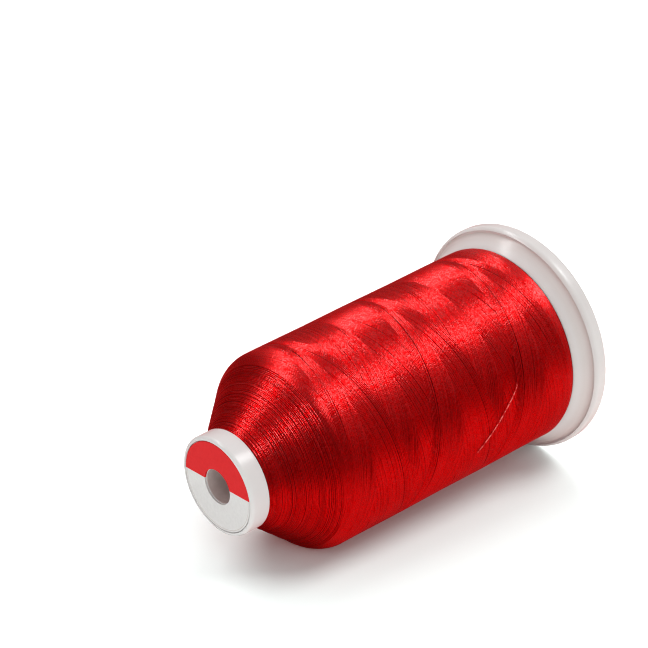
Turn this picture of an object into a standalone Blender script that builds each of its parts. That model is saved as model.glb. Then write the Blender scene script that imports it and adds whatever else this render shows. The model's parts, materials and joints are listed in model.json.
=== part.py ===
"""A cone of sewing thread lying on its side.

A moulded core carries the wound thread: a tapered tube with a sloping base flange and a rolled
rim at one end and a pressed-in nose cap with a round label at the other. The cone lies on the
rim and on the shoulder of the winding, so its axis dips a little towards the cap.

Every piece is turned in the cone's own frame, with Z along the axis: 0 at the underside of the
flange, rising to the cap. One empty then lays that frame down. Metres, +Z up.
"""
import math

import bmesh
import bpy
from mathutils import Vector

# ---- driving dimensions (metres) -------------------------------------------------------------
GAP = 0.0003                    # clearance left between pieces that touch

# base flange and rolled rim
RIM_RADIUS = 0.0363
RIM_TOP_FILLET = 0.0020
RIM_TOP_FILLET_Z = 0.0033       # height of that fillet's centre
RIM_TOP_START = math.radians(66)    # where that fillet starts, at the groove
RIM_FOOT_FILLET = 0.0015
RIM_INNER_RADIUS = 0.0325
GROOVE_RADIUS = 0.03505
GROOVE_Z = 0.0052
GROOVE_DEPTH = 0.0004
GROOVE_WIDTH = 0.0003           # of its inner wall
POCKET_DEPTH = 0.0040           # of the rim's inner wall, seen from below
FLANGE_EDGE_RADIUS = 0.0312     # where the slope meets the seat of the winding
FLANGE_EDGE_Z = 0.0086
FLANGE_THICKNESS = 0.0016
SEAT_BEVEL = 0.0014             # width of the bevel round the seat of the winding
SEAT_BEVEL_DROP = 0.0002

# core tube
TUBE_BASE_RADIUS = 0.0205
TUBE_TOP_RADIUS = 0.0122
TUBE_WALL = 0.0013

# wound thread
WINDING_BASE_Z = 0.0098
WINDING_BASE_RADIUS = 0.0309
SHOULDER_RADIUS = 0.0298        # where the body and nose lines would cross
SHOULDER_HEIGHT = 0.0873        # above the base of the winding
SHOULDER_FILLET = 0.0060
NOSE_ANGLE = math.radians(41.0)
NOSE_HEIGHT = 0.1057            # top of the winding, above its base
BASE_EDGE_ROUND = 0.0007

# layers of the winding: each turn lies a thread further on than the one before it
TURN_PITCH = 0.0343             # rise of one turn of the thread along the axis
RISE_PHASE = 0.453              # place of the newest rising turn, in turns
FALL_PHASE = 0.2234             # place of the newest falling turn, in turns
LAYER_RELIEF = 0.0002           # how much higher the newest turns lie than the oldest
RELIEF_FADE = 0.0070            # length over which the relief fades out at both ends of the body

# nose cap and label
CAP_RADIUS = 0.0151
CAP_BACK_Z = 0.1158
CAP_FACE_Z = 0.1223
CAP_FRONT_FILLET = 0.0011
CAP_BACK_FILLET = 0.0006
PLUG_RADIUS = 0.0106
PLUG_LENGTH = 0.0074
PLUG_CHAMFER = 0.0006
BORE_RADIUS = 0.0052
RECESS_RADIUS = 0.0139
RECESS_DEPTH = 0.0007
LABEL_RADIUS = 0.0137
LABEL_HOLE_RADIUS = 0.0054
LABEL_THICKNESS = 0.0003

# loose end
THREAD_DIAMETER = 0.00035
# (height along the axis, angle from the top of the cone): along the newest rising turn, where it
# comes out, and then across the winding
LOOSE_END_ROUTE = (
    (0.03180, math.radians(-61.5)),
    (0.03235, math.radians(-67.0)),
    (0.03285, math.radians(-72.5)),
    (0.03330, math.radians(-77.0)),
    (0.03480, math.radians(-80.7)),
    (0.0388, math.radians(-87.9)),
    (0.0441, math.radians(-97.4)),
    (0.0494, math.radians(-106.9)),
)
LOOSE_END_STEPS = 7             # points in each stretch of the route

# how it lies
FLAT_DEPTH = 0.0002             # depth of the small flats worn by lying
GROUND_SIZE = (0.3, 0.2, 0.02)  # the slab that shaves them

# fineness of the solids
SEGMENTS = 64                   # steps round the core and the winding
CAP_SEGMENTS = 48
FILLET_STEPS = 4
FOOT_STEPS = 3
CAP_BACK_STEPS = 2
SHOULDER_STEPS = 6
BODY_ROWS = 34
NOSE_ROWS = 7
SHARP_ANGLE = math.radians(35)  # edges sharper than this are not shaded smooth
MERGE_DISTANCE = 0.00001

# finishes: (colour, roughness, sheen)
WHITE_PLASTIC = ((0.82, 0.80, 0.79), 0.38, 0.0)
WHITE_CAP_PLASTIC = ((0.84, 0.82, 0.81), 0.36, 0.0)
PRINTED_LABEL = ((0.73, 0.04, 0.05), 0.55, 0.0)
RED_THREAD = ((0.55, 0.004, 0.008), 0.42, 0.3)
RED_THREAD_END = ((0.66, 0.02, 0.03), 0.40, 0.3)


# ---- shape functions --------------------------------------------------------------------------
def arc(centre, radius, start, end, steps=FILLET_STEPS):
    """Points of an arc in the (radius, height) plane, from angle start to angle end."""
    points = []
    for step in range(steps + 1):
        angle = start + (end - start) * step / steps
        points.append((centre[0] + radius * math.cos(angle), centre[1] + radius * math.sin(angle)))
    return points


def tube_radius(z):
    """Outer radius of the core tube at height z."""
    low = WINDING_BASE_Z - GAP
    high = WINDING_BASE_Z + NOSE_HEIGHT
    return TUBE_BASE_RADIUS + (TUBE_TOP_RADIUS - TUBE_BASE_RADIUS) * (z - low) / (high - low)


def body_slope():
    """Angle by which the body narrows towards the shoulder."""
    return math.atan2(WINDING_BASE_RADIUS - SHOULDER_RADIUS, SHOULDER_HEIGHT)


def shoulder_centre():
    """(radius, height) of the centre of the shoulder's fillet."""
    corner = (SHOULDER_RADIUS, WINDING_BASE_Z + SHOULDER_HEIGHT)
    bisector = (body_slope() + NOSE_ANGLE) / 2
    reach = SHOULDER_FILLET / math.cos((NOSE_ANGLE - body_slope()) / 2)
    return corner[0] - reach * math.cos(bisector), corner[1] - reach * math.sin(bisector)


def body_radius(z):
    """Radius of the winding's body at height z, where the oldest turns lie."""
    return WINDING_BASE_RADIUS - math.tan(body_slope()) * (z - WINDING_BASE_Z)


def layer_relief(z, angle):
    """Height of the turns at a place above the oldest ones: the newer of the two crossing sets."""
    turns_up = (z - WINDING_BASE_Z) / TURN_PITCH
    turns_round = angle / (2 * math.pi)
    rising_age = (RISE_PHASE - turns_up - turns_round) % 1.0
    falling_age = (turns_up - turns_round - FALL_PHASE) % 1.0
    low = WINDING_BASE_Z + BASE_EDGE_ROUND
    high = WINDING_BASE_Z + SHOULDER_HEIGHT - RELIEF_FADE
    fade = min(z - low, high - z) / RELIEF_FADE
    return LAYER_RELIEF * (1.0 - min(rising_age, falling_age)) * min(1.0, max(0.0, fade))


def lying_pose():
    """(tilt of the axis, height of the flange's centre) on the rim and the shoulder."""
    rim = (RIM_RADIUS - RIM_TOP_FILLET, RIM_TOP_FILLET_Z)
    shoulder = shoulder_centre()
    drop = rim[0] - shoulder[0]
    run = shoulder[1] - rim[1]
    tilt = math.acos((SHOULDER_FILLET - RIM_TOP_FILLET) / math.hypot(drop, run)) - math.atan2(run, drop)
    height = rim[0] * math.cos(tilt) + rim[1] * math.sin(tilt) + RIM_TOP_FILLET
    return tilt, height - FLAT_DEPTH


# ---- building blocks --------------------------------------------------------------------------
def clear_scene():
    for item in list(bpy.data.objects):
        bpy.data.objects.remove(item, do_unlink=True)


def collection(name):
    group = bpy.data.collections.new(name)
    bpy.context.scene.collection.children.link(group)
    return group


def principled(name, finish):
    """A material of one of the finishes above."""
    colour, roughness, sheen = finish
    material = bpy.data.materials.new(name)
    material.use_nodes = True
    shader = material.node_tree.nodes["Principled BSDF"]
    shader.inputs["Base Color"].default_value = (*colour, 1.0)
    shader.inputs["Roughness"].default_value = roughness
    shader.inputs["Metallic"].default_value = 0.0
    shader.inputs["Sheen Weight"].default_value = sheen
    return material


def evaluated_mesh(item):
    """The item's mesh with its modifiers applied."""
    graph = bpy.context.evaluated_depsgraph_get()
    return bpy.data.meshes.new_from_object(item.evaluated_get(graph))


def turned(name, profile, segments, material, group, parent):
    """A ring-shaped solid, turned about the Z axis from a closed (radius, height) outline."""
    mesh = bpy.data.meshes.new(name)
    edges = [(index, (index + 1) % len(profile)) for index in range(len(profile))]
    mesh.from_pydata([(radius, 0.0, height) for radius, height in profile], edges, [])
    item = bpy.data.objects.new(name, mesh)
    group.objects.link(item)
    screw = item.modifiers.new("turn", "SCREW")
    screw.axis = "Z"
    screw.steps = segments
    screw.render_steps = segments
    screw.use_merge_vertices = True
    screw.merge_threshold = MERGE_DISTANCE
    item.data = evaluated_mesh(item)
    item.modifiers.clear()
    item.data.name = name
    item.data.materials.clear()
    item.data.materials.append(material)
    item.data.shade_smooth()
    item.data.set_sharp_from_angle(angle=SHARP_ANGLE)
    item.parent = parent
    return item


def shave(item, cutter):
    """Takes the small flat off an item where it lies on the ground."""
    cut = item.modifiers.new("lying flat", "BOOLEAN")
    cut.operation = "DIFFERENCE"
    cut.solver = "EXACT"
    cut.object = cutter


# ---- pieces -----------------------------------------------------------------------------------
def core_profile():
    """Tube, seat of the winding, sloping flange and rolled rim: down the outside, up the inside."""
    seat_z = WINDING_BASE_Z - GAP
    tube_top = WINDING_BASE_Z + NOSE_HEIGHT
    rim_top = (RIM_RADIUS - RIM_TOP_FILLET, RIM_TOP_FILLET_Z)
    rim_foot = (RIM_RADIUS - RIM_FOOT_FILLET, RIM_FOOT_FILLET)
    under_edge = (FLANGE_EDGE_RADIUS - FLANGE_THICKNESS / 2, FLANGE_EDGE_Z - FLANGE_THICKNESS)
    return [
        (TUBE_TOP_RADIUS, tube_top),
        (TUBE_BASE_RADIUS, seat_z),
        (FLANGE_EDGE_RADIUS - SEAT_BEVEL, seat_z - SEAT_BEVEL_DROP),
        (FLANGE_EDGE_RADIUS, FLANGE_EDGE_Z),
        (GROOVE_RADIUS - GROOVE_WIDTH, GROOVE_Z),
        (GROOVE_RADIUS, GROOVE_Z - GROOVE_DEPTH),
        *arc(rim_top, RIM_TOP_FILLET, RIM_TOP_START, 0.0),
        *arc(rim_foot, RIM_FOOT_FILLET, 0.0, math.radians(-90), FOOT_STEPS),
        (RIM_INNER_RADIUS, 0.0),
        (RIM_INNER_RADIUS, POCKET_DEPTH),
        under_edge,
        (TUBE_BASE_RADIUS, seat_z - FLANGE_THICKNESS),
        (TUBE_BASE_RADIUS - TUBE_WALL, seat_z - FLANGE_THICKNESS),
        (TUBE_TOP_RADIUS - TUBE_WALL, tube_top),
    ]


def cap_profile():
    """Recessed face, rounded barrel and plug: down the outside, up the bore."""
    front = (CAP_RADIUS - CAP_FRONT_FILLET, CAP_FACE_Z - CAP_FRONT_FILLET)
    back = (CAP_RADIUS - CAP_BACK_FILLET, CAP_BACK_Z + CAP_BACK_FILLET)
    floor_z = CAP_FACE_Z - RECESS_DEPTH
    plug_end = CAP_BACK_Z - PLUG_LENGTH
    return [
        (BORE_RADIUS, floor_z),
        (RECESS_RADIUS, floor_z),
        *arc(front, CAP_FRONT_FILLET, math.radians(90), 0.0),
        *arc(back, CAP_BACK_FILLET, 0.0, math.radians(-90), CAP_BACK_STEPS),
        (PLUG_RADIUS, CAP_BACK_Z),
        (PLUG_RADIUS, plug_end + PLUG_CHAMFER),
        (PLUG_RADIUS - PLUG_CHAMFER, plug_end),
        (BORE_RADIUS, plug_end),
    ]


def label_profile():
    """A thin flat ring on the floor of the cap's recess."""
    low = CAP_FACE_Z - RECESS_DEPTH + GAP
    high = low + LABEL_THICKNESS
    return [
        (LABEL_HOLE_RADIUS, high),
        (LABEL_RADIUS, high),
        (LABEL_RADIUS, low),
        (LABEL_HOLE_RADIUS, low),
    ]


def winding_profile():
    """Nose, shoulder and body down the outside, the seat on the tube up the inside."""
    top = WINDING_BASE_Z + NOSE_HEIGHT
    centre = shoulder_centre()
    shoulder = arc(centre, SHOULDER_FILLET, NOSE_ANGLE, body_slope(), SHOULDER_STEPS)
    nose_top = (shoulder[0][0] - math.tan(NOSE_ANGLE) * (top - shoulder[0][1]), top)
    profile = []
    for row in range(NOSE_ROWS):
        share = row / NOSE_ROWS
        profile.append(tuple(a + (b - a) * share for a, b in zip(nose_top, shoulder[0])))
    profile += shoulder
    low = WINDING_BASE_Z + BASE_EDGE_ROUND
    for row in range(1, BODY_ROWS + 1):
        z = shoulder[-1][1] + (low - shoulder[-1][1]) * row / BODY_ROWS
        profile.append((body_radius(z), z))
    profile.append((WINDING_BASE_RADIUS - BASE_EDGE_ROUND, WINDING_BASE_Z))
    profile.append((tube_radius(WINDING_BASE_Z) + GAP, WINDING_BASE_Z))
    profile.append((tube_radius(top) + GAP, top))
    return profile


def raise_layers(item):
    """Moves the body's outer points out by the relief of the crossing layers."""
    shape = bmesh.new()
    shape.from_mesh(item.data)
    for vertex in shape.verts:
        radius = math.hypot(vertex.co.x, vertex.co.y)
        if radius < tube_radius(vertex.co.z) + 2 * GAP:
            continue
        angle = math.atan2(vertex.co.y, vertex.co.x)
        factor = 1.0 + layer_relief(vertex.co.z, angle) / radius
        vertex.co.x *= factor
        vertex.co.y *= factor
    shape.to_mesh(item.data)
    shape.free()


def on_winding(z, angle):
    """A point just outside the newest turns, where the middle of a loose thread lies."""
    radius = body_radius(z) + LAYER_RELIEF + GAP + THREAD_DIAMETER / 2
    return Vector((radius * math.cos(angle), radius * math.sin(angle), z))


def smooth_route(route, steps):
    """Points of a smooth curve through the route's (height, angle) pairs."""
    padded = [route[0], *route, route[-1]]
    points = []
    for index in range(len(route) - 1):
        before, start, end, after = padded[index:index + 4]
        for step in range(steps):
            t = step / steps
            pair = [
                0.5 * (2 * b + (c - a) * t + (2 * a - 5 * b + 4 * c - d) * t ** 2
                       + (3 * b - a - 3 * c + d) * t ** 3)
                for a, b, c, d in zip(before, start, end, after)
            ]
            points.append(on_winding(*pair))
    points.append(on_winding(*route[-1]))
    return points


def loose_end(material, group, parent):
    """The end of the thread that lies across the winding."""
    points = smooth_route(LOOSE_END_ROUTE, LOOSE_END_STEPS)
    curve = bpy.data.curves.new("thread_end", "CURVE")
    curve.dimensions = "3D"
    curve.bevel_depth = THREAD_DIAMETER / 2
    curve.bevel_resolution = 2
    curve.use_fill_caps = True
    spline = curve.splines.new("POLY")
    spline.points.add(len(points) - 1)
    for target, point in zip(spline.points, points):
        target.co = (*point, 1.0)
    curve.materials.append(material)
    item = bpy.data.objects.new("thread_end", curve)
    group.objects.link(item)
    item.parent = parent
    return item


def ground_cutter(group):
    """A slab below the ground, which shaves the flats that the cone lies on."""
    bpy.ops.mesh.primitive_cube_add(size=1.0)
    slab = bpy.context.active_object
    slab.name = "ground_cutter"
    for owner in list(slab.users_collection):
        owner.objects.unlink(slab)
    group.objects.link(slab)
    slab.scale = GROUND_SIZE
    slab.location.z = -GROUND_SIZE[2] / 2
    slab.hide_render = True
    slab.display_type = "WIRE"
    return slab


def lay_down(frame, pieces):
    """Tips the cone onto its rim and shoulder and centres it over the origin."""
    tilt, height = lying_pose()
    frame.rotation_euler = (0.0, -(math.radians(90) + tilt), 0.0)
    frame.location = (0.0, 0.0, height)
    bpy.context.view_layer.update()
    along = [(item.matrix_world @ vertex.co).x for item in pieces for vertex in item.data.vertices]
    frame.location.x = -(min(along) + max(along)) / 2
    bpy.context.view_layer.update()


def build():
    clear_scene()
    parts = collection("cone_of_thread")
    cutters = collection("cutters")
    frame = bpy.data.objects.new("cone_frame", None)
    parts.objects.link(frame)

    plastic = principled("white_plastic", WHITE_PLASTIC)
    cap_plastic = principled("white_cap_plastic", WHITE_CAP_PLASTIC)
    paper = principled("printed_label", PRINTED_LABEL)
    red_thread = principled("red_thread", RED_THREAD)
    end_thread = principled("red_thread_end", RED_THREAD_END)

    core = turned("spool_core", core_profile(), SEGMENTS, plastic, parts, frame)
    winding = turned("thread_winding", winding_profile(), SEGMENTS, red_thread, parts, frame)
    cap = turned("nose_cap", cap_profile(), CAP_SEGMENTS, cap_plastic, parts, frame)
    label = turned("label", label_profile(), CAP_SEGMENTS, paper, parts, frame)
    raise_layers(winding)
    loose_end(end_thread, parts, frame)
    lay_down(frame, [core, winding, cap, label])

    slab = ground_cutter(cutters)
    shave(core, slab)
    shave(winding, slab)


build()
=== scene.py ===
"""Looks of a cone of sewing thread that lies on its side.

The wound thread is laid stroke by stroke, as a cross winder lays it. Each double stroke runs up
the cone and down again in six turns, and the next one starts one thread's width further on. So
the rising and the falling turns cross, and at each place the newer of the two covers the other.
That gives the bright and dark bands of the winding. Near both ends the thread turns round.

Heights run along the cone's axis from the underside of its flange, or from the base of the
winding where a name or a comment says so. Angles run from the top of the lying cone towards +Y.
Lengths are in metres.
"""

import json
import math

import bpy
import numpy as np
from mathutils import Matrix, Vector


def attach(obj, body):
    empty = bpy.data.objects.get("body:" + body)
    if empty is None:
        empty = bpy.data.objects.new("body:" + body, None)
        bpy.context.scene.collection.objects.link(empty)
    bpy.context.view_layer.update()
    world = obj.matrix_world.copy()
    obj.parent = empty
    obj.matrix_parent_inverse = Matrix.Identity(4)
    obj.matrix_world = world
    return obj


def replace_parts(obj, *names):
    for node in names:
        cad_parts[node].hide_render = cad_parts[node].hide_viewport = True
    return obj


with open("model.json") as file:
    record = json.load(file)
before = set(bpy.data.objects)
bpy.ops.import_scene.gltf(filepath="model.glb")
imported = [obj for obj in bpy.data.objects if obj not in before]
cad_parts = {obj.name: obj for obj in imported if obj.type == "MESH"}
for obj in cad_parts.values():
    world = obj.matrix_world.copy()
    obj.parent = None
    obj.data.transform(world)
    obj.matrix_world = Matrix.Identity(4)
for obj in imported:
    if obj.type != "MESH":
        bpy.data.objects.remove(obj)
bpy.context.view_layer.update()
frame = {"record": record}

# ---- driving dimensions, as in the part's source -----------------------------------------------
GAP = 0.0003                     # clearance left between pieces that touch

# base flange and rolled rim
RIM_RADIUS = 0.0363
RIM_TOP_FILLET = 0.0020
RIM_TOP_FILLET_Z = 0.0033        # height of that fillet's centre
RIM_FOOT_FILLET = 0.0015
RIM_INNER_RADIUS = 0.0325
GROOVE_RADIUS = 0.03505
GROOVE_Z = 0.0052
POCKET_DEPTH = 0.0040            # of the rim's inner wall, seen from below
FLANGE_EDGE_RADIUS = 0.0312      # where the slope meets the seat of the winding
FLANGE_EDGE_Z = 0.0086
FLANGE_THICKNESS = 0.0016
SEAT_BEVEL = 0.0014              # width of the bevel round the seat of the winding
SEAT_BEVEL_DROP = 0.0002

# core tube
TUBE_BASE_RADIUS = 0.0205
TUBE_TOP_RADIUS = 0.0122
TUBE_WALL = 0.0013

# wound thread
WINDING_BASE_Z = 0.0098
WINDING_BASE_RADIUS = 0.0309
SHOULDER_RADIUS = 0.0298         # where the body and nose lines would cross
SHOULDER_HEIGHT = 0.0873         # above the base of the winding
SHOULDER_FILLET = 0.0060
NOSE_ANGLE = math.radians(41.0)
NOSE_HEIGHT = 0.1057             # top of the winding, above its base
LAYER_RELIEF = 0.0002            # how much higher the newest turns lie than the oldest

# nose cap and label
CAP_RADIUS = 0.0151
CAP_BACK_Z = 0.1158
CAP_FACE_Z = 0.1223
CAP_FRONT_FILLET = 0.0011
CAP_BACK_FILLET = 0.0006
PLUG_RADIUS = 0.0106
PLUG_LENGTH = 0.0074
PLUG_CHAMFER = 0.0006
BORE_RADIUS = 0.0052
RECESS_RADIUS = 0.0139
RECESS_DEPTH = 0.0007
LABEL_RADIUS = 0.0137
LABEL_HOLE_RADIUS = 0.0054
LABEL_THICKNESS = 0.0003

# loose end
THREAD_DIAMETER = 0.00035
LOOSE_END_ROUTE = (              # (height, angle) along the newest turn, then across the winding
    (0.03180, math.radians(-61.5)),
    (0.03235, math.radians(-67.0)),
    (0.03285, math.radians(-72.5)),
    (0.03330, math.radians(-77.0)),
    (0.03480, math.radians(-80.7)),
    (0.0388, math.radians(-87.9)),
    (0.0441, math.radians(-97.4)),
    (0.0494, math.radians(-106.9)),
)

# ---- how the thread is wound -------------------------------------------------------------------
TURN_PITCH = 0.0343              # rise of one turn along the axis
STROKES = 98                     # double strokes that cover the cone once
TURNS_UP = 3                     # turns from one tip of a stroke to the other
TIP_LOW = -0.00555               # where unbent strokes would turn round, above the winding's base
TIP_HIGH = TIP_LOW + TURNS_UP * TURN_PITCH
BEND_LOW = 0.0122                # length over which a stroke bends round at its lower tip
BEND_HIGH = 0.0150
RISE_PHASE = 0.453               # place of the newest rising turn, in turns
FALL_PHASE = (2 * TIP_HIGH / TURN_PITCH - RISE_PHASE) % 1.0
THREAD_WIDTH = 0.00037           # a thread lies a little flat
THREAD_HEIGHT = 0.00015
THREAD_CREST = 0.00028           # crest of the oldest turns above the plain winding
STEPS_A_TURN = 120
# outline of a thread across its run: (share of its half width, share of its height below the crest)
THREAD_SECTION = np.array(((-1.0, 1.0), (-0.62, 0.22), (0.0, 0.0), (0.62, 0.22), (1.0, 1.0)))
END_CAP = np.array(((0, 1, 4), (1, 3, 4), (1, 2, 3)))    # triangles that close a thread's end

RANDOM_SEED = 11
random = np.random.default_rng(RANDOM_SEED)


# ---- the cone's own frame ----------------------------------------------------------------------
stand = next(mount for mount in frame["record"]["mounts"] if mount["name"] == "stand_base")
AXIS = -np.array(stand["axis"])              # from the flange towards the cap
AXIS /= np.linalg.norm(AXIS)
FOOT = np.array((stand["pos_m"][0], 0.0, stand["pos_m"][2]))
UP = np.array((AXIS[2], 0.0, -AXIS[0]))
SIDE = np.array((0.0, 1.0, 0.0))


def outward(angle):
    """Unit vectors from the axis towards points at these angles."""
    return np.multiply.outer(np.cos(angle), UP) + np.multiply.outer(np.sin(angle), SIDE)


def place(height, angle, radius):
    """World points from heights, angles and radii."""
    return FOOT + np.multiply.outer(height, AXIS) + outward(angle) * np.expand_dims(radius, -1)


def toward(direction):
    """World direction from its parts (towards the cap, up, towards +Y)."""
    to_cap, up, side = direction
    return Vector(AXIS * to_cap + UP * up + SIDE * side).normalized()


# the rounded shoulder between the winding's body and nose, in heights above the winding's base
BODY_SLOPE = math.atan2(WINDING_BASE_RADIUS - SHOULDER_RADIUS, SHOULDER_HEIGHT)
FILLET_REACH = SHOULDER_FILLET * math.tan((NOSE_ANGLE - BODY_SLOPE) / 2)
FILLET_LOW = SHOULDER_HEIGHT - FILLET_REACH * math.cos(BODY_SLOPE)
FILLET_HIGH = SHOULDER_HEIGHT + FILLET_REACH * math.cos(NOSE_ANGLE)
FILLET_CENTRE_HEIGHT = FILLET_LOW - SHOULDER_FILLET * math.sin(BODY_SLOPE)
FILLET_CENTRE_RADIUS = (WINDING_BASE_RADIUS - math.tan(BODY_SLOPE) * FILLET_LOW
                        - SHOULDER_FILLET * math.cos(BODY_SLOPE))


def winding_surface(height):
    """(radius, slope towards the axis) of the plain winding at heights above its base."""
    body = WINDING_BASE_RADIUS - math.tan(BODY_SLOPE) * height
    nose = SHOULDER_RADIUS - math.tan(NOSE_ANGLE) * (height - SHOULDER_HEIGHT)
    rise = np.clip(height - FILLET_CENTRE_HEIGHT, 0.0, SHOULDER_FILLET)
    shoulder = FILLET_CENTRE_RADIUS + np.sqrt(SHOULDER_FILLET ** 2 - rise ** 2)
    places = [height < FILLET_LOW, height > FILLET_HIGH]
    radius = np.select(places, [body, nose], shoulder)
    slope = np.select(places, [BODY_SLOPE, NOSE_ANGLE], np.arcsin(rise / SHOULDER_FILLET))
    return radius, slope


def bent(reach):
    """Height above the winding's base of a stroke's point, from its height on the unbent stroke."""
    high = np.maximum(reach - (TIP_HIGH - BEND_HIGH), 0.0)
    low = np.maximum(TIP_LOW + BEND_LOW - reach, 0.0)
    return reach - high ** 2 / (2 * BEND_HIGH) + low ** 2 / (2 * BEND_LOW)


# ---- camera ------------------------------------------------------------------------------------
CAMERA_PLACE = Vector((-0.39166, -0.40555, 0.32007))
CAMERA_HEADING = math.radians(42.385)        # from +Y towards +X
CAMERA_DIP = math.radians(24.92)
CAMERA_SEES_FROM = 0.01
CAMERA_SEES_TO = 20.0
IMAGE_SIZE = 648                 # pixels
FOCAL_PIXELS = 2150              # focal length, in pixels
SENSOR_WIDTH = 36.0              # millimetres


def add_camera():
    """The camera that was fitted to the photo's circles and outlines."""
    heading = Vector((math.sin(CAMERA_HEADING), math.cos(CAMERA_HEADING), 0.0))
    forward = heading * math.cos(CAMERA_DIP) - Vector((0.0, 0.0, math.sin(CAMERA_DIP)))
    data = bpy.data.cameras.new("camera")
    data.sensor_width = SENSOR_WIDTH
    data.lens = FOCAL_PIXELS * SENSOR_WIDTH / IMAGE_SIZE
    data.clip_start = CAMERA_SEES_FROM
    data.clip_end = CAMERA_SEES_TO
    camera = bpy.data.objects.new("camera", data)
    bpy.context.scene.collection.objects.link(camera)
    turn = forward.to_track_quat("-Z", "Y").to_matrix().to_4x4()
    camera.matrix_world = Matrix.Translation(CAMERA_PLACE) @ turn
    bpy.context.scene.camera = camera


# ---- nodes -------------------------------------------------------------------------------------
class Nodes:
    """Short calls for the nodes of a material or of the world."""

    def __init__(self, tree):
        self.tree = tree

    def feed(self, slot, value):
        """Sets a socket to a number or a colour, or links it."""
        if isinstance(value, (int, float)):
            slot.default_value = value
        elif isinstance(value, tuple):
            slot.default_value = (*value, 1.0)
        else:
            self.tree.links.new(value, slot)

    def add(self, kind, **slots):
        """A new node, with values for the sockets that its caller names."""
        node = self.tree.nodes.new(f"ShaderNode{kind}")
        for slot, value in slots.items():
            self.feed(node.inputs[slot.replace("_", " ")], value)
        return node

    def parts_of(self, vector):
        """The X, Y and Z of a vector."""
        return self.add("SeparateXYZ", Vector=vector).outputs

    def vector(self, x, y, z):
        return self.add("CombineXYZ", X=x, Y=y, Z=z).outputs[0]

    def noise(self, vector, scale, detail=2.0):
        """A smooth noise between 0 and 1, with about scale waves a unit."""
        return self.add("TexNoise", Vector=vector, Scale=scale, Detail=detail).outputs["Fac"]

    def share(self, value, start, end):
        """A share that grows from 0 to 1 while a value goes from start to end."""
        return self.add("MapRange", Value=value, From_Min=start, From_Max=end).outputs["Result"]

    def math(self, operation, *values):
        """The result of one of Blender's math operations."""
        node = self.add("Math")
        node.operation = operation
        for slot, value in zip(node.inputs, values):
            self.feed(slot, value)
        return node.outputs[0]

    def ramp(self, value, *stops):
        """A colour that follows a value past the stops (value, colour)."""
        node = self.add("ValToRGB", Fac=value)
        elements = node.color_ramp.elements
        while len(elements) < len(stops):
            elements.new(0.5)
        for element, (position, colour) in zip(elements, stops):
            element.position = position
            element.color = (*colour, 1.0)
        return node.outputs["Color"]

    def mix(self, share, first, second):
        """A colour between two, the second where the share is 1."""
        node = self.add("Mix")
        node.data_type = "RGBA"
        factor, first_colour, second_colour = (node.inputs[slot] for slot in (0, 6, 7))
        self.feed(factor, share)
        self.feed(first_colour, first)
        self.feed(second_colour, second)
        return node.outputs[2]


class Shader(Nodes):
    """A Principled material with short calls for its nodes."""

    def __init__(self, name, **slots):
        self.material = bpy.data.materials.new(name)
        self.material.use_nodes = True
        super().__init__(self.material.node_tree)
        self.slots = self.tree.nodes["Principled BSDF"].inputs
        for slot, value in slots.items():
            self.feed(self.slots[slot.replace("_", " ")], value)

    def attribute(self, name):
        """The three parts of a mark that the piece carries."""
        node = self.add("Attribute")
        node.attribute_name = name
        return self.parts_of(node.outputs["Vector"])

    def radius_of(self, name):
        """Distance from the axis, from a mark of (up, side, height)."""
        up, side, _ = self.attribute(name)
        return self.math("SQRT", self.math("ADD", self.math("MULTIPLY", up, up),
                                           self.math("MULTIPLY", side, side)))

    def place_of(self):
        """Where a point is on its piece."""
        return self.add("TexCoord").outputs["Object"]

    def bump(self, height, strength, distance):
        """Fine relief for the surface and its clear coat."""
        node = self.add("Bump", Height=height, Strength=strength, Distance=distance)
        self.feed(self.slots["Normal"], node.outputs["Normal"])
        self.feed(self.slots["Coat Normal"], node.outputs["Normal"])


# ---- materials ---------------------------------------------------------------------------------
# Colours that follow a noise are given as stops (noise, colour). A grain is in waves a metre.
BLACK = (0.0, 0.0, 0.0)
WHITE = (1.0, 1.0, 1.0)

THREAD_REDS = ((0.40, (0.56, 0.0015, 0.0025)), (0.60, (0.80, 0.004, 0.006)))
THREAD_GLINTS = ((0.43, BLACK), (0.58, WHITE))
THREAD_TINT = (1.0, 0.12, 0.12)  # of its reflections
PLY_PITCH = 0.0008               # one turn of the two plies round each other
PLY_LEAD = 1.6                   # of a ply at the thread's edge, in radians
FLECK_LENGTH = 0.0006            # length of the deeper and paler flecks along a thread
GLINT_LENGTH = 0.0007            # length of its glints
FLECKS_ACROSS = 0.25             # flecks and glints in half a thread's width
CLOUDS_A_METRE = 60.0            # slower changes of shade along a thread
STRAND_STEP = 97.0               # gives threads of nearly the same tone a noise of their own
TONE_SHARE = 0.15                # what makes a thread's shade: its own tone, the clouds, the flecks
CLOUD_SHARE = 0.2
FLECK_SHARE = 0.65
PLY_RELIEF = 0.3                 # what makes its relief: the plies and the flecks
FLECK_RELIEF = 2.4


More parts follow.
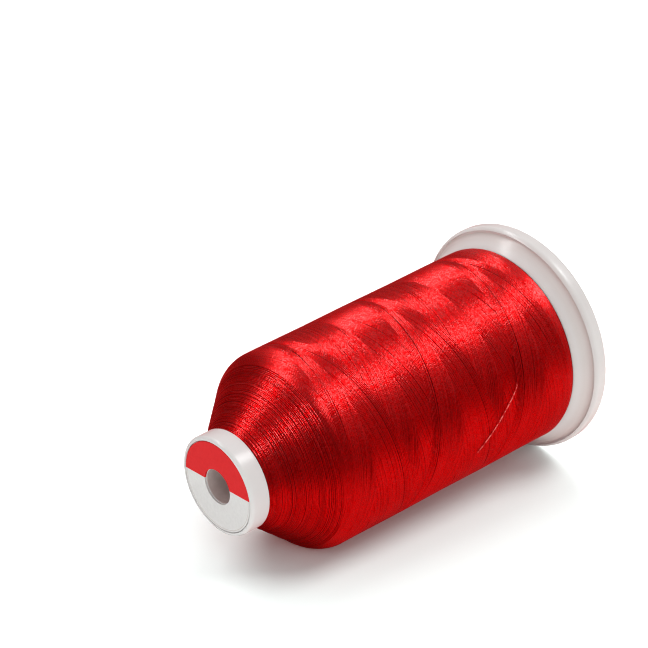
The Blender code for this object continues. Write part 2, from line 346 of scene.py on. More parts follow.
def thread_material():
    """Silky red thread: two plies twisted together, each thread a little lighter or darker."""
    shader = Shader("red_thread", Roughness=0.30, Metallic=0.85, Specular_IOR_Level=0.1,
                    Coat_Roughness=0.20, Specular_Tint=THREAD_TINT)
    along, across, tone = shader.attribute("thread_mark")
    strand = shader.math("MULTIPLY", tone, STRAND_STEP)
    beside = shader.math("MULTIPLY", across, FLECKS_ACROSS)
    flecks_along = shader.math("MULTIPLY", along, 1.0 / FLECK_LENGTH)
    fleck = shader.noise(shader.vector(flecks_along, beside, strand), scale=1.0, detail=1.0)
    clouds_along = shader.math("MULTIPLY", along, CLOUDS_A_METRE)
    cloud = shader.noise(shader.vector(clouds_along, strand, 0.0), scale=1.0)
    shade = shader.math("ADD", shader.math("MULTIPLY", tone, TONE_SHARE),
                        shader.math("MULTIPLY", cloud, CLOUD_SHARE))
    shade = shader.math("ADD", shade, shader.math("MULTIPLY", fleck, FLECK_SHARE))
    shader.feed(shader.slots["Base Color"], shader.ramp(shade, *THREAD_REDS))
    glints_along = shader.math("MULTIPLY", along, 1.0 / GLINT_LENGTH)
    glint = shader.noise(shader.vector(glints_along, strand, beside), scale=1.0, detail=1.0)
    shader.feed(shader.slots["Coat Weight"], shader.ramp(glint, *THREAD_GLINTS))
    twist = shader.math("MULTIPLY", along, 2 * math.pi / PLY_PITCH)
    twist = shader.math("ADD", twist, shader.math("MULTIPLY", across, PLY_LEAD))
    relief = shader.math("ADD", shader.math("MULTIPLY", shader.math("SINE", twist), PLY_RELIEF),
                         shader.math("MULTIPLY", fleck, FLECK_RELIEF))
    shader.bump(relief, strength=0.9, distance=0.00003)
    return shader.material


BED_GRAIN = 900.0
# painted shade: the deeper thread is the same red, coloured far darker where it shows in the gaps
BED_SHADED_REDS = ((0.3, (0.10, 0.0005, 0.001)), (0.7, (0.22, 0.001, 0.003)))


def shaded_bed_material():
    """The deeper thread that shows between the turns, in a much darker red: painted shade in the gaps.
    """
    shader = Shader("thread_below_painted_shade", Roughness=0.8, Specular_IOR_Level=0.0)
    grain = shader.noise(shader.place_of(), BED_GRAIN)
    shader.feed(shader.slots["Base Color"], shader.ramp(grain, *BED_SHADED_REDS))
    return shader.material


LOOSE_END_LEAVES = 3             # where in the route it leaves the newest turn
LOOSE_END_GRAIN = 1300.0
# painted light: one thread, paler where it lies free (painted sheen) and far deeper where it follows
# the newest turn (painted shade)
LOOSE_END_SHEEN_PALE = ((0.42, (0.60, 0.02, 0.02)), (0.62, (1.0, 0.20, 0.18)))
LOOSE_END_SHADE_DEEP = ((0.35, (0.14, 0.001, 0.002)), (0.65, (0.26, 0.002, 0.003)))


def loose_end_material():
    """Paler where the end lies free across the winding, as painted sheen, and deep where it follows the
    newest turn, as painted shade.
    """
    shader = Shader("red_thread_end", Roughness=0.6, Specular_IOR_Level=0.0)
    spot = shader.place_of()
    grain = shader.noise(spot, LOOSE_END_GRAIN)
    pale = shader.ramp(grain, *LOOSE_END_SHEEN_PALE)
    shade_deep = shader.ramp(grain, *LOOSE_END_SHADE_DEEP)
    leaves = on_winding(*LOOSE_END_ROUTE[LOOSE_END_LEAVES]).x
    on_turn = shader.math("LESS_THAN", shader.parts_of(spot)[0], leaves)
    shader.feed(shader.slots["Base Color"], shader.mix(on_turn, shade_deep, pale))
    shader.bump(grain, strength=0.5, distance=0.00004)
    return shader.material


PLASTIC_CLOUDS = 45.0            # waves a metre of its slow changes of shade
PLASTIC_DULL = 0.94              # share of its colour that the darker clouds keep
PLASTIC_PATCHES = 160.0          # waves a metre of its uneven gloss
GLOSS_SPREAD = 0.04              # the most that its roughness departs from the middle
PLASTIC_GRAIN = 2600.0
# painted shade: the bore's wall is coloured a darker grey, where shade falls inside the bore
BORE_GRAIN = 700.0
BORE_SHADE_GREYS = ((0.3, (0.50, 0.40, 0.38)), (0.7, (0.55, 0.45, 0.43)))
BORE_REACH = BORE_RADIUS + 0.0001            # the bore's wall lies within this radius
# painted shade: a darker, warmer colour towards the flange's groove, where shade falls in the crease
GROOVE_SHADE_COLOUR = (0.62, 0.53, 0.505)
GROOVE_SHADE_START = 0.0320              # painted shade darkens the flange from this radius outwards
GROOVE_SHADE_END = 0.0353                # and ends where the rim's bead starts
GROOVE_SHADE_SHARES = ((0.0, BLACK), (0.8, WHITE), (1.0, (0.1, 0.1, 0.1)))      # on the way from start to end
GROOVE_SHADE_LOWEST = GROOVE_Z - 0.0010  # keeps it off the back of the flange


def plastic_material(name, colour, roughness, shaded_bore=False, shaded_groove=False):
    """Moulded plastic: nearly even, with a faint grain and uneven gloss.

    One flag paints shade on the bore's wall as a darker grey, the other paints shade towards the
    flange's groove as a darker, warmer colour.
    """
    shader = Shader(name, Specular_IOR_Level=0.35)
    spot = shader.place_of()
    dull = tuple(PLASTIC_DULL * part for part in colour)
    shade = shader.ramp(shader.noise(spot, PLASTIC_CLOUDS), (0.35, dull), (0.65, colour))
    # painted shade on the bore's wall
    if shaded_bore:
        in_bore = shader.math("LESS_THAN", shader.radius_of("turned_place"), BORE_REACH)
        bore_shade = shader.ramp(shader.noise(spot, BORE_GRAIN), *BORE_SHADE_GREYS)
        shade = shader.mix(in_bore, shade, bore_shade)
    # painted shade towards the flange's groove
    if shaded_groove:
        reach = shader.math("SUBTRACT", shader.radius_of("turned_place"), GROOVE_SHADE_START)
        reach = shader.math("DIVIDE", reach, GROOVE_SHADE_END - GROOVE_SHADE_START)
        groove_shade = shader.ramp(reach, *GROOVE_SHADE_SHARES)
        in_front = shader.math("GREATER_THAN", shader.attribute("turned_place")[2], GROOVE_SHADE_LOWEST)
        shade = shader.mix(shader.math("MULTIPLY", groove_shade, in_front), shade, GROOVE_SHADE_COLOUR)
    shader.feed(shader.slots["Base Color"], shade)
    patches = shader.math("MULTIPLY", shader.noise(spot, PLASTIC_PATCHES), 2 * GLOSS_SPREAD)
    gloss = shader.math("ADD", roughness - GLOSS_SPREAD, patches)
    shader.feed(shader.slots["Roughness"], gloss)
    shader.bump(shader.noise(spot, PLASTIC_GRAIN), strength=0.08, distance=0.00005)
    return shader.material


LABEL_SPLIT = 0.00087            # the label's two colours meet this far above its middle
LABEL_LINE_RADIUS = 0.01315
LABEL_LINE_WIDTH = 0.00016
LABEL_LINE = (0.57, 0.50, 0.47)
LABEL_GRAIN = 1200.0
LABEL_REDS = ((0.3, (0.68, 0.012, 0.015)), (0.7, (0.72, 0.016, 0.019)))
LABEL_PALES = ((0.3, (0.67, 0.64, 0.63)), (0.7, (0.71, 0.68, 0.67)))


def label_material():
    """Printed paper: red above, off-white below, with a fine line near its edge."""
    shader = Shader("printed_label", Roughness=0.55, Specular_IOR_Level=0.1)
    grain = shader.noise(shader.place_of(), LABEL_GRAIN)
    red = shader.ramp(grain, *LABEL_REDS)
    pale = shader.ramp(grain, *LABEL_PALES)
    off = shader.math("SUBTRACT", shader.radius_of("turned_place"), LABEL_LINE_RADIUS)
    on_line = shader.math("LESS_THAN", shader.math("ABSOLUTE", off), LABEL_LINE_WIDTH / 2)
    lower = shader.mix(on_line, pale, LABEL_LINE)
    in_upper = shader.math("GREATER_THAN", shader.attribute("turned_place")[0], LABEL_SPLIT)
    shader.feed(shader.slots["Base Color"], shader.mix(in_upper, lower, red))
    shader.bump(grain, strength=0.05, distance=0.00003)
    return shader.material


FLOOR_CLOUDS = 3.0               # waves a metre
FLOOR_PALES = ((0.3, (0.84, 0.90, 0.89)), (0.7, (0.86, 0.92, 0.91)))


def floor_material():
    """A pale floor, nearly even."""
    shader = Shader("pale_floor", Roughness=0.6, Specular_IOR_Level=0.2)
    shade = shader.noise(shader.place_of(), FLOOR_CLOUDS)
    shader.feed(shader.slots["Base Color"], shader.ramp(shade, *FLOOR_PALES))
    return shader.material


# ---- meshes ------------------------------------------------------------------------------------
FLOOR_CLEARANCE = 0.00003        # what rests on the floor is pressed flat this far above it
SLIVER = 0.00005                 # keeps the faces of two pieces from lying in one place
TURNED_SHARP = math.radians(35)  # edges that turn more than this stay sharp
THREAD_SHARP = math.radians(80)


def add_piece(name, points, quads, triangles, material, sharp_angle, marks=None, mark_name=None):
    """A piece of the object from arrays of points and faces."""
    mesh = bpy.data.meshes.new(name)
    mesh.vertices.add(len(points))
    mesh.vertices.foreach_set("co", np.asarray(points, np.float32).ravel())
    corners = np.concatenate([np.ravel(quads), np.ravel(triangles)]).astype(np.int32)
    sizes = np.concatenate([np.full(len(quads), 4), np.full(len(triangles), 3)])
    starts = np.concatenate([[0], np.cumsum(sizes)[:-1]])
    mesh.loops.add(len(corners))
    mesh.loops.foreach_set("vertex_index", corners)
    mesh.polygons.add(len(sizes))
    mesh.polygons.foreach_set("loop_start", starts.astype(np.int32))
    mesh.update(calc_edges=True)
    mesh.validate()
    if marks is not None:
        layer = mesh.attributes.new(mark_name, "FLOAT_VECTOR", "POINT")
        layer.data.foreach_set("vector", np.asarray(marks, np.float32).ravel())
    mesh.shade_smooth()
    mesh.set_sharp_from_angle(angle=sharp_angle)
    mesh.materials.append(material)
    piece = bpy.data.objects.new(name, mesh)
    bpy.context.scene.collection.objects.link(piece)
    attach(piece, "root")
    return piece


def arc(centre, radius, start, end, steps):
    """Points of an arc in the (radius, height) plane, between two angles in degrees."""
    angles = np.radians(np.linspace(start, end, steps + 1))
    return [(centre[0] + radius * math.cos(angle), centre[1] + radius * math.sin(angle))
            for angle in angles]


def bend(start, corner, end, steps):
    """Points of a smooth bend from one point to another, drawn towards a corner."""
    points = []
    for share in np.linspace(0.0, 1.0, steps + 1):
        weights = ((1 - share) ** 2, 2 * share * (1 - share), share ** 2)
        points.append(tuple(np.dot(weights, np.array((start, corner, end)))))
    return points


def turned(name, profile, steps, material, marked=False, lowest=FLOOR_CLEARANCE):
    """A ring-shaped piece from a closed outline of (radius, height), down outside and up inside.

    No point of it lies lower over the floor than lowest. A marked one carries each point's
    place (up, side, height) about the axis.
    """
    radius, height = np.array(profile).T
    angle = np.linspace(0, 2 * math.pi, steps, endpoint=False)
    grid_angle, grid_radius = np.meshgrid(angle, radius, indexing="ij")
    grid_height = np.broadcast_to(height, grid_angle.shape)
    points = place(grid_height, grid_angle, grid_radius)
    points[..., 2] = np.maximum(points[..., 2], lowest)
    count = len(radius)
    index = np.arange(steps * count).reshape(steps, count)
    ahead = np.roll(index, -1, axis=0)
    quads = np.stack([index, ahead, np.roll(ahead, -1, axis=1), np.roll(index, -1, axis=1)], -1)
    marks = None
    if marked:
        up, side = grid_radius * np.cos(grid_angle), grid_radius * np.sin(grid_angle)
        marks = np.stack([up, side, grid_height], -1).reshape(-1, 3)
    return add_piece(name, points.reshape(-1, 3), quads.reshape(-1, 4), np.zeros((0, 3), int), material,
                     TURNED_SHARP, marks, "turned_place")


class Turns:
    """Stretches of thread that become one piece."""

    def __init__(self):
        self.points, self.marks, self.quads, self.triangles = [], [], [], []
        self.count = 0

    def lay(self, height, angle, lift, width, tone):
        """Adds a stretch along points at heights above the winding's base, its crest at lift.

        Where it would reach the floor it is pressed flat. Its points are marked with (length
        along the thread, share of its half width, tone).
        """
        radius, slope = winding_surface(height)
        normal = outward(angle) * np.cos(slope)[:, None] + np.multiply.outer(np.sin(slope), AXIS)
        crest = place(height + WINDING_BASE_Z, angle, radius) + normal * np.expand_dims(lift, -1)
        run = np.gradient(crest, axis=0)
        run /= np.linalg.norm(run, axis=1)[:, None]
        across = np.cross(run, normal)
        aside, below = THREAD_SECTION[:, 0], THREAD_SECTION[:, 1] * THREAD_HEIGHT
        points = (crest[:, None] + across[:, None] * (aside * width / 2)[None, :, None]
                  - normal[:, None] * below[None, :, None])
        points[..., 2] = np.maximum(points[..., 2], FLOOR_CLEARANCE + below)
        steps = np.linalg.norm(np.diff(crest, axis=0), axis=1)
        marks = np.empty(points.shape)
        marks[..., 0] = np.concatenate([[0.0], np.cumsum(steps)])[:, None]
        marks[..., 1] = aside
        marks[..., 2] = tone
        rows, sides = points.shape[:2]
        index = self.count + np.arange(rows * sides).reshape(rows, sides)
        near, far = index[:-1], index[1:]
        quads = np.stack([near, np.roll(near, -1, 1), np.roll(far, -1, 1), far], -1)
        self.quads.append(quads.reshape(-1, 4))
        self.triangles.append(index[-1][END_CAP])
        self.triangles.append(index[0][np.flip(END_CAP, 1)])
        self.points.append(points.reshape(-1, 3))
        self.marks.append(marks.reshape(-1, 3))
        self.count += rows * sides

    def piece(self, name, material):
        """All the stretches, as one piece of the object."""
        return add_piece(name, np.concatenate(self.points), np.concatenate(self.quads),
                         np.concatenate(self.triangles), material, THREAD_SHARP,
                         np.concatenate(self.marks), "thread_mark")


# ---- the turns of the winding ------------------------------------------------------------------
# how unevenly the strokes follow each other, as shares of their usual distance
SPACING_SPREAD = 0.10
NARROWEST_SPACING = 0.55
WIDE_CHANCE = 0.06               # a few strokes leave a wider gap behind them
WIDE_GAP = (0.25, 0.6)
LEADING = 5                      # the newest strokes, which lie more loosely
LEADING_GAP = (0.2, 0.8)

# how a thread of a stroke lies
STROKE_WIDTHS = (0.92, 1.06)     # in thread widths
STROKE_DRIFT = 0.00003           # usual departure of a whole stroke from its place
TURN_LENGTH = 0.19               # of thread in one turn
WANDER = 0.00003                 # how far it wanders to a side, in each of three waves
WANDER_LENGTHS = (0.021, 0.047, 0.110)
DIVE_DEPTH = 0.00026             # a thread dips this far where it goes under newer ones
DIVE_LENGTH = 0.0007             # measured along the axis
UNDER_EDGE = 0.0010              # how far older threads reach under the newest one
UNDER_DIP = 0.6 * DIVE_DEPTH     # how far they dip there
UNDER_DIP_LENGTH = UNDER_EDGE + 0.0002
LOWEST_TURN = 0.0003             # no thread of a stroke lies lower above the winding's base


def stroke_places():
    """How far behind the newest stroke each stroke lies, in shares of a turn's rise."""
    spacing = random.normal(1.0, SPACING_SPREAD, STROKES)
    wide = random.random(STROKES) < WIDE_CHANCE
    spacing[wide] += random.uniform(*WIDE_GAP, wide.sum())
    spacing[1:LEADING] += random.uniform(*LEADING_GAP, LEADING - 1)
    behind = np.cumsum(np.maximum(spacing, NARROWEST_SPACING))
    behind -= behind[0]
    return behind / (behind[-1] + 1.0)


def wander(run):
    """A slow sideways drift along a thread, which opens and closes the gaps between turns."""
    drift = np.zeros_like(run)
    for wavelength in WANDER_LENGTHS:
        drift += np.sin(2 * math.pi * (run / wavelength + random.random()))
    return WANDER * drift


def smooth_step(share):
    """A share that leaves 0 and reaches 1 gently."""
    share = np.clip(share, 0.0, 1.0)
    return share * share * (3 - 2 * share)


def lay_strokes(turns, behind, rising):
    """Lays what shows of every rising or falling stroke, dealt out to several pieces of turns."""
    half = TURN_PITCH / 2
    sense = 1.0 if rising else -1.0
    for number, age in enumerate(behind):
        tone = random.random()
        width = THREAD_WIDTH * random.uniform(*STROKE_WIDTHS)
        stroke_drift = random.normal(0.0, STROKE_DRIFT)
        if rising:
            phase = RISE_PHASE - age
            offset = phase + FALL_PHASE
        else:
            phase = FALL_PHASE + age
            offset = RISE_PHASE + phase
        # a stroke shows from where it is as new as the crossing strokes up to their newest one
        for turn in range(-2 * TURNS_UP - 1, 2 * TURNS_UP + 2):
            start = (offset + sense * (turn + age)) * half - sense * DIVE_LENGTH
            end = (offset + sense * (turn + 1)) * half + sense * UNDER_EDGE
            low = max(min(start, end), TIP_LOW)
            high = min(max(start, end), TIP_HIGH)
            if high - low < 2 * DIVE_LENGTH:
                continue
            steps = max(4, int((high - low) / TURN_PITCH * STEPS_A_TURN))
            reach = np.linspace(low, high, steps + 1)
            angle = sense * 2 * math.pi * (phase - reach / TURN_PITCH)
            dive = 1.0 - smooth_step(sense * (reach - start) / (2 * DIVE_LENGTH))
            dip = 1.0 - smooth_step(sense * (end - reach) / UNDER_DIP_LENGTH)
            lift = THREAD_CREST + LAYER_RELIEF * (1.0 - age) - DIVE_DEPTH * dive - UNDER_DIP * dip
            drift = wander(reach / TURN_PITCH * TURN_LENGTH) + stroke_drift
            height = np.clip(bent(reach + drift), LOWEST_TURN, None)
            turns[number % len(turns)].lay(height, angle, lift, width, tone)


NOSE_LOW = FILLET_HIGH + 0.0004  # the buried strokes' ends lie between these two, above the base
NOSE_HIGH = NOSE_HEIGHT - 0.0001
NOSE_OVERLAP = 0.0003            # how far they may rise past the upper one
NOSE_SPACING = 0.00034           # between their rounds, along the nose's slope
# how they drift along the nose: (reach, waves a turn)
NOSE_DRIFTS = ((0.00003, 0.37), (0.000025, 0.73), (0.00002, 1.31), (0.00002, 2.17))
NOSE_LIFT = 0.00004              # how far they rise and sink, in waves
NOSE_LIFTS = ((0.61, 0.0), (1.57, 1.0))      # (waves a turn, start in radians)
NOSE_WIDTH = 0.92 * THREAD_WIDTH
NOSE_STEPS_A_TURN = 0.8 * STEPS_A_TURN
NOSE_TONES = 24                  # stretches that each have their own tone

STRAYS = 34                      # threads that lie loosely over the nose's rounds
STRAY_MARGIN = 0.0008
STRAY_ARC = (1.2, 5.0)           # shortest and longest, in radians
STRAY_RISE = 0.0006              # the most that one end lies above the middle
STRAY_SAG = 0.0003
STRAY_LIFT = 0.00010             # above the rounds
STRAY_DIP = 0.0002               # of its ends under the rounds
STRAY_WIDTH = 0.9 * THREAD_WIDTH


def lay_nose(turns):
    """The ends of the buried strokes, which lie round the nose nearly side by side."""
    pitch = NOSE_SPACING * math.cos(NOSE_ANGLE)
    rounds = (NOSE_HIGH - NOSE_LOW) / pitch
    angle = np.linspace(0.0, 2 * math.pi * rounds, int(rounds * NOSE_STEPS_A_TURN))
    height = NOSE_HIGH - angle / (2 * math.pi) * pitch
    for reach, waves in NOSE_DRIFTS:
        height = height + reach * np.sin(waves * angle + 2 * math.pi * random.random())
    height = np.clip(height, NOSE_LOW, NOSE_HIGH + NOSE_OVERLAP)
    lift = np.full_like(angle, THREAD_CREST)
    for waves, start in NOSE_LIFTS:
        lift = lift + NOSE_LIFT * np.sin(waves * angle + start)
    for part in np.array_split(np.arange(len(angle)), NOSE_TONES):
        part = np.arange(part[0], min(part[-1] + 2, len(angle)))    # reaches the next stretch
        turns.lay(height[part], angle[part], lift[part], NOSE_WIDTH, random.random())


def lay_strays(turns):
    """Single threads that lie loosely over the nose's rounds."""
    for _ in range(STRAYS):
        middle = random.uniform(NOSE_LOW + STRAY_MARGIN, NOSE_HIGH - STRAY_MARGIN)
        length = random.uniform(*STRAY_ARC)
        start = random.uniform(0, 2 * math.pi)
        share = np.linspace(-1.0, 1.0, int(length * STEPS_A_TURN / (2 * math.pi)) + 4)
        rise = random.uniform(-STRAY_RISE, STRAY_RISE)
        height = middle + rise * share - STRAY_SAG * share ** 2
        lift = THREAD_CREST + STRAY_LIFT - STRAY_DIP * np.abs(share) ** 6
        turns.lay(height, start + share * length / 2, lift, STRAY_WIDTH, random.random())


BASE_ROUNDS = 3.2
BASE_START = -0.00012            # above the winding's base
BASE_PITCH = 0.0002
BASE_SINK = 0.00006              # how far these turns lie below the others
BASE_TONE = 0.4


def lay_base(turns):
    """The turns that close the winding against the flange."""
    angle = np.linspace(0.0, 2 * math.pi * BASE_ROUNDS, int(BASE_ROUNDS * STEPS_A_TURN))
    height = BASE_START + angle / (2 * math.pi) * BASE_PITCH
    turns.lay(height, angle, np.full_like(angle, THREAD_CREST - BASE_SINK), THREAD_WIDTH, BASE_TONE)


# ---- the winding -------------------------------------------------------------------------------
BED_RISE = 0.0001                # how far the bed stands above the plain winding
BED_SIDES = 192
BED_RINGS = (8, 8, 20)           # rings of points on its nose, shoulder and body


def tube_radius(height):
    """Outer radius of the core's tube."""
    low = WINDING_BASE_Z - GAP
    high = WINDING_BASE_Z + NOSE_HEIGHT
    return TUBE_BASE_RADIUS + (TUBE_TOP_RADIUS - TUBE_BASE_RADIUS) * (height - low) / (high - low)


def add_bed():
    """What fills the winding below its turns."""
    on_nose, on_shoulder, on_body = BED_RINGS
    heights = np.concatenate([np.linspace(NOSE_HEIGHT, FILLET_HIGH, on_nose),
                              np.linspace(FILLET_HIGH, FILLET_LOW, on_shoulder)[1:],
                              np.linspace(FILLET_LOW, 0.0, on_body)[1:]])
    radius, _ = winding_surface(heights)
    outline = [(r + BED_RISE, h + WINDING_BASE_Z) for r, h in zip(radius, heights)]
    seat = WINDING_BASE_Z - GAP + SLIVER
    top = WINDING_BASE_Z + NOSE_HEIGHT
    outline.append((radius[-1] + BED_RISE, seat))
    outline.append((tube_radius(WINDING_BASE_Z) + GAP, seat))
    outline.append((tube_radius(top) + GAP, top))
    bed = turned("winding_bed", outline, BED_SIDES, shaded_bed_material(), lowest=2 * THREAD_HEIGHT)
    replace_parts(bed, "thread_winding")


def add_winding():
    """The bed, the strokes in four pieces, and the turns at the nose and the base in a fifth."""
    fine = thread_material()
    add_bed()
    behind = stroke_places()
    for name, rising in (("rising_turns", True), ("falling_turns", False)):
        halves = [Turns(), Turns()]
        lay_strokes(halves, behind, rising)
        for number, half in enumerate(halves):
            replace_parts(half.piece(f"{name}_{number + 1}", fine), "thread_winding")
    ends = Turns()
    lay_nose(ends)
    lay_strays(ends)
    lay_base(ends)
    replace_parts(ends.piece("nose_turns", fine), "thread_winding")


# ---- the loose end -----------------------------------------------------------------------------
LOOSE_END_STEPS = 7              # of the smooth curve between two points of the route
LOOSE_END_BEVEL = 3              # how finely Blender rounds its section


def on_winding(height, angle):
    """Where the middle of a loose thread lies, just outside the newest turns."""
    radius, _ = winding_surface(height - WINDING_BASE_Z)
    radius = radius + LAYER_RELIEF + GAP + THREAD_DIAMETER / 2
    return Vector(place(height, angle, radius))


def smooth_route(route, steps):
    """Points of a smooth curve through the route's (height, angle) pairs."""
    padded = [route[0], *route, route[-1]]
    points = []
    for index in range(len(route) - 1):
        before, start, end, after = padded[index:index + 4]
        for step in range(steps):
            t = step / steps
            pair = [
                0.5 * (2 * b + (c - a) * t + (2 * a - 5 * b + 4 * c - d) * t ** 2
                       + (3 * b - a - 3 * c + d) * t ** 3)
                for a, b, c, d in zip(before, start, end, after)
            ]
            points.append(on_winding(*pair))
    points.append(on_winding(*route[-1]))
    return points


def add_loose_end():
    """The end of the thread, which comes off the newest turn and lies across the winding."""
    points = smooth_route(LOOSE_END_ROUTE, LOOSE_END_STEPS)
    curve = bpy.data.curves.new("loose_end", "CURVE")
    curve.dimensions = "3D"
    curve.bevel_depth = THREAD_DIAMETER / 2
    curve.bevel_resolution = LOOSE_END_BEVEL
    curve.use_fill_caps = True
    spline = curve.splines.new("POLY")
    spline.points.add(len(points) - 1)
    for target, point in zip(spline.points, points):
        target.co = (*point, 1.0)
    curve.materials.append(loose_end_material())
    piece = bpy.data.objects.new("loose_end", curve)
    bpy.context.scene.collection.objects.link(piece)
    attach(piece, "root")
    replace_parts(piece, "thread_end")


# ---- core, cap and label -----------------------------------------------------------------------
CORE_SIDES = 256
CAP_SIDES = 192
RIM_TOP_START = 58               # degrees, where the rim's top fillet starts, at the groove
RIM_INNER_FILLET = 0.0005
EDGE_ROUND = 0.0009              # round edge between the winding's seat and the flange's slope
EDGE_CENTRE = (FLANGE_EDGE_RADIUS - 0.0008, FLANGE_EDGE_Z - 0.0002)
GROOVE_START = (GROOVE_RADIUS - 0.0019, GROOVE_Z + 0.0015)    # the slope sinks in from here
GROOVE_PULL = (GROOVE_RADIUS - 0.0004, GROOVE_Z - 0.0011)     # the groove is drawn towards this
BORE_ROUND = 0.0003              # round edge of the cap's bore
RECESS_WALL = 0.0005             # straight part of the recess's wall
LABEL_BEVEL = 0.00005
CORE_PLASTIC = (0.73, 0.695, 0.68)
CAP_PLASTIC = (0.74, 0.71, 0.70)


def add_core():
    """The hollow core with its flange and rolled rim."""
    seat = WINDING_BASE_Z - GAP
    top = WINDING_BASE_Z + NOSE_HEIGHT
    rim_top = (RIM_RADIUS - RIM_TOP_FILLET, RIM_TOP_FILLET_Z)
    rim_foot = (RIM_RADIUS - RIM_FOOT_FILLET, RIM_FOOT_FILLET)
    rim_inner = (RIM_INNER_RADIUS + RIM_INNER_FILLET, RIM_INNER_FILLET)
    bead = arc(rim_top, RIM_TOP_FILLET, RIM_TOP_START, 0, 12)
    outline = [
        (TUBE_TOP_RADIUS, top),
        (TUBE_BASE_RADIUS, seat),
        (FLANGE_EDGE_RADIUS - SEAT_BEVEL, seat - SEAT_BEVEL_DROP),
        *arc(EDGE_CENTRE, EDGE_ROUND, 80, 42, 4),
        *bend(GROOVE_START, GROOVE_PULL, bead[0], 10),
        *bead[1:],
        *arc(rim_foot, RIM_FOOT_FILLET, 0, -90, 8),
        *arc(rim_inner, RIM_INNER_FILLET, -90, -180, 4),
        (RIM_INNER_RADIUS, POCKET_DEPTH),
        (FLANGE_EDGE_RADIUS - FLANGE_THICKNESS / 2, FLANGE_EDGE_Z - FLANGE_THICKNESS),
        (TUBE_BASE_RADIUS, seat - FLANGE_THICKNESS),
        (TUBE_BASE_RADIUS - TUBE_WALL, seat - FLANGE_THICKNESS),
        (TUBE_TOP_RADIUS - TUBE_WALL, top),
    ]
    # the flange gets painted shade towards its groove
    plastic = plastic_material("white_plastic", CORE_PLASTIC, roughness=0.25, shaded_groove=True)
    core = turned("core", outline, CORE_SIDES, plastic, marked=True)
    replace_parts(core, "spool_core")
    return core


def add_cap():
    """The cap with its plug, bore and recess."""
    front = (CAP_RADIUS - CAP_FRONT_FILLET, CAP_FACE_Z - CAP_FRONT_FILLET)
    back = (CAP_RADIUS - CAP_BACK_FILLET, CAP_BACK_Z + CAP_BACK_FILLET)
    floor = CAP_FACE_Z - RECESS_DEPTH
    plug_end = CAP_BACK_Z - PLUG_LENGTH
    outline = [
        *arc((BORE_RADIUS + BORE_ROUND, floor - BORE_ROUND), BORE_ROUND, 180, 90, 4),
        (RECESS_RADIUS, floor),
        (RECESS_RADIUS, floor + RECESS_WALL),
        *arc(front, CAP_FRONT_FILLET, 90, 0, 10),
        *arc(back, CAP_BACK_FILLET, 0, -90, 5),
        (PLUG_RADIUS, CAP_BACK_Z),
        (PLUG_RADIUS, plug_end + PLUG_CHAMFER),
        (PLUG_RADIUS - PLUG_CHAMFER, plug_end),
        (BORE_RADIUS, plug_end),
    ]
    # the cap's bore gets painted shade
    plastic = plastic_material("white_cap_plastic", CAP_PLASTIC, roughness=0.24, shaded_bore=True)
    cap = turned("cap", outline, CAP_SIDES, plastic, marked=True)
    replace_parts(cap, "nose_cap")
    return cap


def add_label():
    """The round label, which lies in the cap's recess."""
    floor = CAP_FACE_Z - RECESS_DEPTH
    low = floor + SLIVER
    high = floor + GAP + LABEL_THICKNESS
    outline = [
        (LABEL_HOLE_RADIUS, high),
        (LABEL_RADIUS - LABEL_BEVEL, high),
        (LABEL_RADIUS, high - LABEL_BEVEL),
        (LABEL_RADIUS, low),
        (LABEL_HOLE_RADIUS, low),
    ]
    label = turned("round_label", outline, CAP_SIDES, label_material(), marked=True)
    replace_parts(label, "label")


# ---- floor and lights --------------------------------------------------------------------------
FLOOR_SIZE = 6.0
LIGHT_AIM = Vector((0.0, 0.0, 0.03))         # the middle of the lying cone, about
SUN_ANGLE = math.radians(28.0)
SUN_COLOUR = (0.96, 0.96, 0.95)
# suns that only the floor receives, for its double shade: (name, direction, strength)
FLOOR_SUNS = (("floor_front", (-0.50, 0.79, -0.37), 1.8),
              ("floor_fill", (0.37, 0.60, -0.71), 0.4),
              ("floor_back", (-0.48, 0.39, 0.78), 2.1))


def add_floor():
    """A pale floor, which the gloss doesn't mirror: the world gives its reflection."""
    bpy.ops.mesh.primitive_plane_add(size=FLOOR_SIZE)
    floor = bpy.context.active_object
    floor.name = "floor"
    floor.data.materials.append(floor_material())
    floor.visible_glossy = False
    return floor


def add_lamp(name, kind, energy):
    """A lamp of one of Blender's kinds: its object and its data."""
    data = bpy.data.lights.new(name, kind)
    data.energy = energy
    lamp = bpy.data.objects.new(name, data)
    bpy.context.scene.collection.objects.link(lamp)
    return lamp, data


def add_soft_box(name, direction, distance, width, length, power, gloss):
    """A soft box that is long along the cone and gives either the gloss or the even light."""
    lamp, data = add_lamp(name, "AREA", power)
    data.shape = "RECTANGLE"
    data.size = length
    data.size_y = width
    back = toward(direction)
    across = back.cross(Vector(AXIS)).normalized()
    along = across.cross(back).normalized()
    turn = Matrix((along, across, back)).transposed().to_4x4()
    lamp.matrix_world = Matrix.Translation(back * distance + LIGHT_AIM) @ turn
    lamp.visible_diffuse = not gloss
    lamp.visible_glossy = gloss
    return lamp


def light_only(lamp, name, pieces):
    """Keeps a lamp's light off everything but these pieces."""
    lit = bpy.data.collections.new(name)
    for piece in pieces:
        lit.objects.link(piece)
    lamp.light_linking.receiver_collection = lit


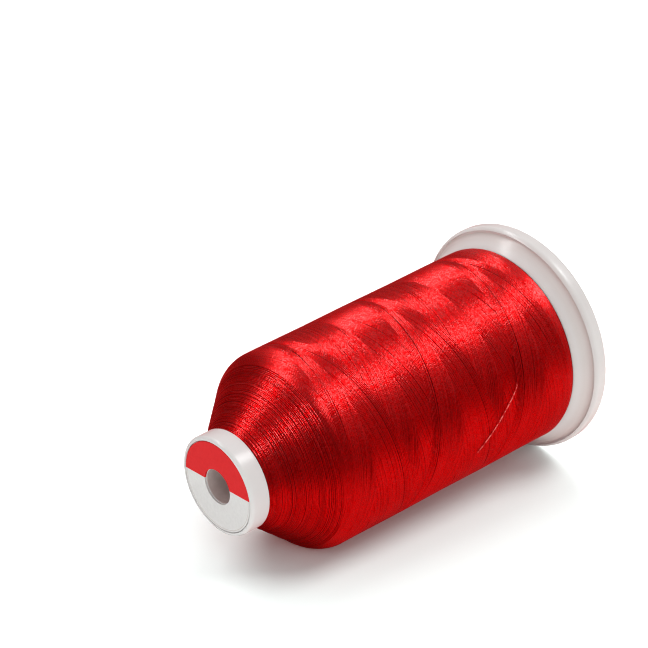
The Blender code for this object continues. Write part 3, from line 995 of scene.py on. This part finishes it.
def add_lights(floor, plastics):
    """Two glosses, the even light, a soft box for the plastics alone, and the floor's suns."""
    add_soft_box("back_gloss", (0.26, 0.80, 0.54), distance=0.7, width=0.08, length=0.9,
                 power=3.1, gloss=True)
    add_soft_box("top_gloss", (-0.35, 0.88, -0.36), distance=0.7, width=0.20, length=0.5,
                 power=3.3, gloss=True)
    add_soft_box("key", (-0.35, 0.88, 0.30), distance=1.2, width=0.8, length=0.8,
                 power=4.6, gloss=False)
    front = add_soft_box("front_on_plastics", (-0.10, 0.85, -0.50), distance=1.2, width=0.6,
                         length=0.6, power=1.8, gloss=False)
    light_only(front, "lit_by_front", plastics)
    for name, direction, strength in FLOOR_SUNS:
        sun, data = add_lamp(name, "SUN", strength)
        data.angle = SUN_ANGLE
        data.color = SUN_COLOUR
        sun.rotation_euler = toward(direction).to_track_quat("Z", "Y").to_euler()
        light_only(sun, f"lit_by_{name}", [floor])


# ---- world -------------------------------------------------------------------------------------
# what the gloss mirrors, from straight down (0) to straight up (1)
STUDIO_BEHIND_FLANGE = (
    (0.05, (0.50, 0.07, 0.07)), (0.22, (0.95, 0.13, 0.13)),
    (0.34, (1.00, 0.14, 0.14)), (0.44, (0.36, 0.06, 0.06)),
    (0.55, (0.40, 0.10, 0.10)), (0.67, (0.64, 0.30, 0.30)),
    (0.78, (0.66, 0.46, 0.46)), (0.90, (0.62, 0.58, 0.58)),
)
STUDIO_BEFORE_CAP = (
    (0.05, (0.82, 0.11, 0.11)), (0.20, (0.90, 0.12, 0.12)),
    (0.29, (0.45, 0.06, 0.06)), (0.37, (0.06, 0.02, 0.02)),
    (0.62, (0.02, 0.02, 0.02)), (0.72, (0.10, 0.09, 0.09)),
    (0.86, (0.40, 0.38, 0.38)),
)
TO_CAP = (0.3, -0.3)             # X over which the first gives way to the second
# X, Y and Z over which the shade below the nose comes in
NOSE_SHADE_X = (0.62, 0.44)
NOSE_SHADE_Y = (0.15, 0.40)
NOSE_SHADE_Z = (-0.3, -0.6)
NOSE_SHADE = (0.01, 0.01, 0.01)  # what the underside of the nose mirrors
AFTER_BOUNCE = (0.35, 0.08, 0.08)            # what gloss gives once the light has been scattered
EVEN_LIGHT = (0.71, 0.71, 0.71)  # what every scattering surface receives
BACKDROP = (1.0, 1.0, 1.0)       # what the camera sees past the floor


def add_world():
    """An even white studio for diffuse light, and a shaded one that only the gloss mirrors."""
    world = bpy.data.worlds.new("studio")
    bpy.context.scene.world = world
    world.use_nodes = True
    nodes = Nodes(world.node_tree)
    rays = nodes.add("LightPath").outputs
    x, y, z = nodes.parts_of(nodes.add("TexCoord").outputs["Generated"])
    rise = nodes.share(z, -1.0, 1.0)
    behind_flange = nodes.ramp(rise, *STUDIO_BEHIND_FLANGE)
    before_cap = nodes.ramp(rise, *STUDIO_BEFORE_CAP)
    light = nodes.mix(nodes.share(x, *TO_CAP), behind_flange, before_cap)
    below_nose = nodes.math("MULTIPLY", nodes.share(x, *NOSE_SHADE_X), nodes.share(z, *NOSE_SHADE_Z))
    below_nose = nodes.math("MULTIPLY", below_nose, nodes.share(y, *NOSE_SHADE_Y))
    light = nodes.mix(below_nose, light, NOSE_SHADE)
    light = nodes.mix(rays["Diffuse Depth"], light, AFTER_BOUNCE)
    light = nodes.mix(rays["Is Diffuse Ray"], light, EVEN_LIGHT)
    light = nodes.mix(rays["Is Camera Ray"], light, BACKDROP)
    nodes.feed(nodes.tree.nodes["Background"].inputs["Color"], light)


# ---- the scene ---------------------------------------------------------------------------------
PIXEL_FILTER_WIDTH = 1.1         # narrow, so that the grain of the threads stays

add_camera()
add_loose_end()
add_winding()
plastics = [add_core(), add_cap()]
add_label()
add_lights(add_floor(), plastics)
add_world()
bpy.context.scene.view_settings.view_transform = "Standard"
bpy.context.scene.cycles.filter_width = PIXEL_FILTER_WIDTH
bpy.context.scene.cycles.denoising_prefilter = "NONE"
